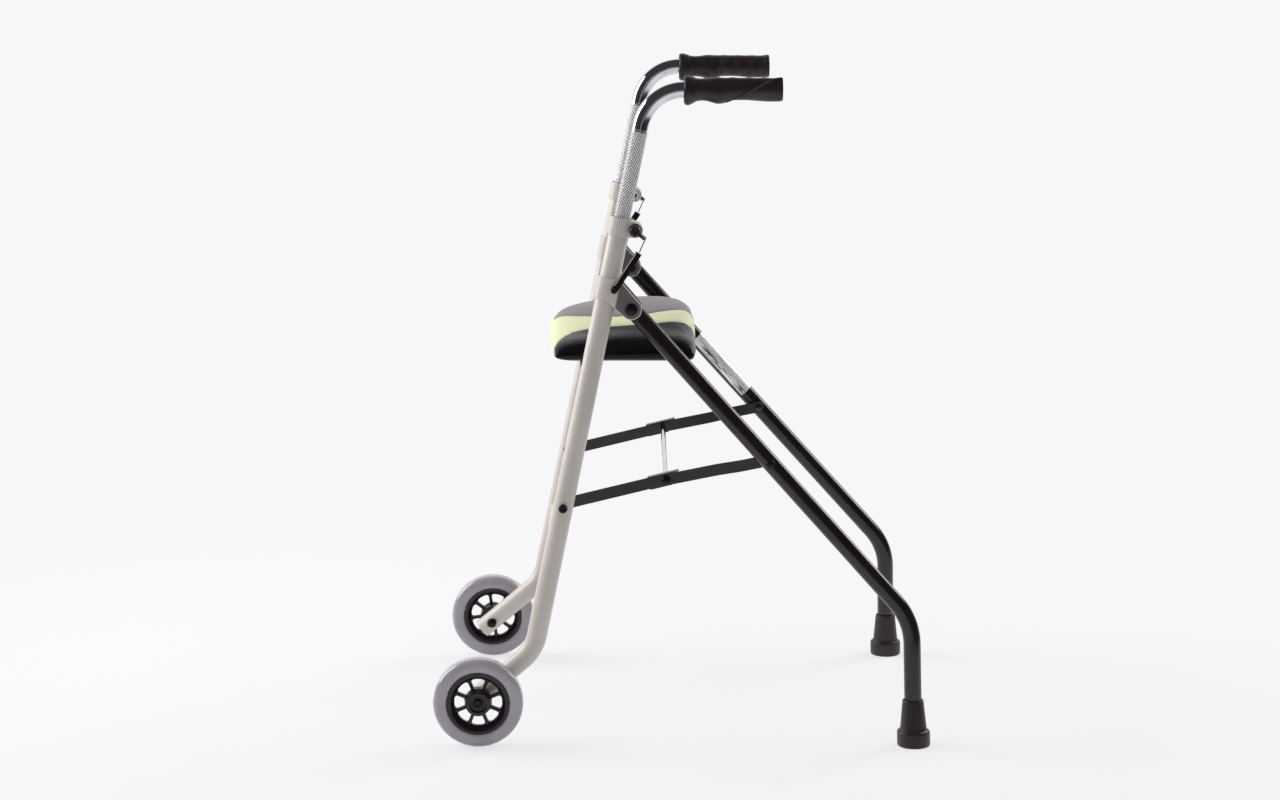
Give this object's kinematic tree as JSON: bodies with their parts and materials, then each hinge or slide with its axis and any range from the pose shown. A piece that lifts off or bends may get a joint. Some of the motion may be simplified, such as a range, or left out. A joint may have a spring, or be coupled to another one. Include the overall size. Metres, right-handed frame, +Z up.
{
  "type": "two-wheeled walker",
  "caption": "Folding tubular walking frame with front wheels, rubber rear feet, height-adjustable handles and a padded flip-up seat.",
  "frame": {"origin": "on the floor, midway between front and rear, in the walker's centre plane", "axes": "+X is the walker's left, +Y is the user's side at the rear, -Y is the side of the wheels, +Z is up"},
  "size_m": [0.5376, 0.6889, 0.9251],
  "materials": {
    "grey_paint": "gloss",
    "black_paint": "gloss",
    "chrome": "polished",
    "zinc": "satin",
    "black_steel": "satin",
    "tyre_grey": "matt",
    "black_plastic": "satin",
    "black_rubber": "matt",
    "soft_grip": "matt",
    "nylon": "satin",
    "seat_vinyl": "satin",
    "seat_board": "matt"
  },
  "bodies": {
    "front_frame": {"front_tube_left": "grey_paint", "front_tube_right": "grey_paint", "pivot_bracket_left": "grey_paint", "pivot_bracket_right": "grey_paint", "guide_bush_left": "black_plastic", "guide_bush_right": "black_plastic", "clamp_collar_left": "grey_paint", "clamp_collar_right": "grey_paint", "clamp_washer_left": "zinc", "clamp_washer_right": "zinc", "spring_link_left": "zinc", "spring_link_right": "zinc", "axle_spacer_left": "zinc", "axle_spacer_right": "zinc", "axle_bolt_left": "black_steel", "axle_bolt_right": "black_steel", "stay_front_bolt_left": "black_steel", "stay_front_bolt_right": "black_steel", "leg_pivot_bolt_left": "black_steel", "leg_pivot_bolt_right": "black_steel", "seat_cross_tube": "grey_paint", "lower_cross_tube": "grey_paint"},
    "handle_left": {"handle_tube_left": "chrome", "grip_left": "soft_grip"},
    "handle_right": {"handle_tube_right": "chrome", "grip_right": "soft_grip"},
    "clamp_knob_left": {"clamp_knob_left": "black_plastic"},
    "clamp_knob_right": {"clamp_knob_right": "black_plastic"},
    "wheel_left": {"tyre_left": "tyre_grey", "rim_left": "black_plastic", "hub_bush_left": "nylon"},
    "wheel_right": {"tyre_right": "tyre_grey", "rim_right": "black_plastic", "hub_bush_right": "nylon"},
    "rear_frame": {"rear_leg_left": "black_paint", "rear_leg_right": "black_paint", "ferrule_left": "black_rubber", "ferrule_right": "black_rubber", "leg_top_plug_left": "black_plastic", "leg_top_plug_right": "black_plastic", "seat_rest_peg_left": "black_rubber", "seat_rest_peg_right": "black_rubber", "stay_rear_bolt_left": "black_steel", "stay_rear_bolt_right": "black_steel"},
    "front_stays": {"cross_rod": "chrome", "front_stay_left": "black_paint", "front_stay_right": "black_paint", "stay_cover_left": "black_paint", "stay_cover_right": "black_paint", "knee_nut_left": "black_steel", "knee_nut_right": "black_steel"},
    "rear_stays": {"rear_stay_left": "black_paint", "rear_stay_right": "black_paint"},
    "seat": {"seat_cushion": "seat_vinyl", "seat_board": "seat_board", "seat_saddle_left": "black_plastic", "seat_saddle_right": "black_plastic"},
    "lock_lever_left": {"lock_lever_left": "black_steel"},
    "lock_lever_right": {"lock_lever_right": "black_steel"}
  },
  "joints": [
    {"name": "handle_height_left", "type": "slide", "parent": "front_frame", "child": "handle_left", "axis": [0, 0.1994, 0.9799], "range_m": [-0.09, 0.07]},
    {"name": "clamp_turn_left", "type": "hinge", "parent": "front_frame", "child": "clamp_knob_left", "pos_m": [0.2243, -0.0647, 0.71612], "axis": [1, 0, 0], "range_deg": [0, 360]},
    {"name": "wheel_roll_left", "type": "hinge", "parent": "front_frame", "child": "wheel_left", "pos_m": [0.245, -0.2822, 0.0625], "axis": [1, 0, 0], "continuous": true},
    {"name": "lever_press_left", "type": "hinge", "parent": "front_frame", "child": "lock_lever_left", "pos_m": [0.2244, -0.09262, 0.636], "axis": [-1, 0, 0], "range_deg": [0, 12], "stiffness_Nm_per_rad": 0.3, "springref_deg": -5.73, "deforming": ["spring_link_left"]},
    {"name": "handle_height_right", "type": "slide", "parent": "front_frame", "child": "handle_right", "axis": [0, 0.1994, 0.9799], "range_m": [-0.09, 0.07]},
    {"name": "clamp_turn_right", "type": "hinge", "parent": "front_frame", "child": "clamp_knob_right", "pos_m": [-0.2243, -0.0647, 0.71612], "axis": [-1, 0, 0], "range_deg": [0, 360]},
    {"name": "wheel_roll_right", "type": "hinge", "parent": "front_frame", "child": "wheel_right", "pos_m": [-0.245, -0.2822, 0.0625], "axis": [1, 0, 0], "continuous": true},
    {"name": "lever_press_right", "type": "hinge", "parent": "front_frame", "child": "lock_lever_right", "pos_m": [-0.2244, -0.09262, 0.636], "axis": [-1, 0, 0], "range_deg": [0, 12], "stiffness_Nm_per_rad": 0.3, "springref_deg": -5.73, "deforming": ["spring_link_right"]},
    {"name": "rear_leg_fold", "type": "hinge", "parent": "front_frame", "child": "rear_frame", "pos_m": [0, -0.06982, 0.608], "axis": [-1, 0, 0], "range_deg": [0, 45]},
    {"name": "front_stay_swing", "type": "hinge", "parent": "front_frame", "child": "front_stays", "pos_m": [0, -0.16417, 0.331], "axis": [1, 0, 0], "range_deg": [0, 54.2]},
    {"name": "rear_stay_swing", "type": "hinge", "parent": "front_stays", "child": "rear_stays", "pos_m": [0, -0.02225, 0.36573], "axis": [-1, 0, 0], "range_deg": [0, 146.4]},
    {"name": "seat_flip", "type": "hinge", "parent": "front_frame", "child": "seat", "pos_m": [0, -0.12633, 0.517], "axis": [1, 0, 0], "range_deg": [0, 78]}
  ],
  "couplings": [
    {"joint": "front_stay_swing", "follows": "rear_leg_fold", "ratio": 1.2039},
    {"joint": "rear_stay_swing", "follows": "rear_leg_fold", "ratio": 3.2518}
  ]
}
